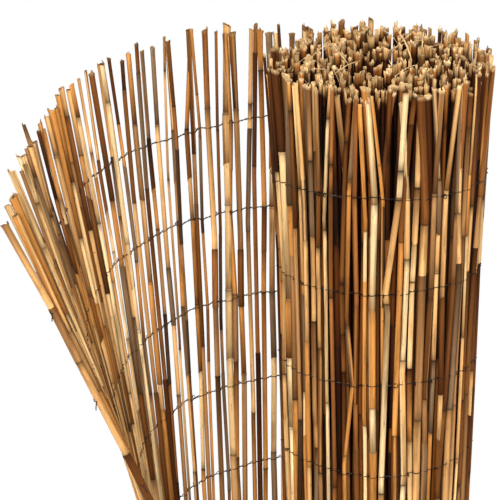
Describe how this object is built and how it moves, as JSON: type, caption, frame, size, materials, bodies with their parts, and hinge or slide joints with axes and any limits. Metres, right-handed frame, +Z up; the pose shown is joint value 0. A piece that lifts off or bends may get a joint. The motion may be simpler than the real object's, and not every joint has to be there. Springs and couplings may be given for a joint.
{
  "type": "reed fence",
  "caption": "Standing roll of reed fencing: thin dry stems bound side by side by rows of twisted wire, wound tightly, with the last turn let loose and flaring open at the top.",
  "frame": {"origin": "on the floor, on the axis of the roll", "axes": "+Z up along the reeds, -Y towards the viewer, -X to the side where the loose turn opens"},
  "size_m": [0.4738, 0.299, 1.0347],
  "materials": {
    "reed": "matte dry stems",
    "wire": "dull dark"
  },
  "bodies": {
    "root": {"rolled_turns": "reed", "loose_turn": "reed", "binding_wire_1": "wire", "binding_wire_2": "wire", "binding_wire_3": "wire", "binding_wire_4": "wire", "binding_wire_5": "wire", "binding_wire_6": "wire", "binding_wire_7": "wire", "binding_wire_8": "wire", "binding_wire_9": "wire"}
  },
  "joints": []
}
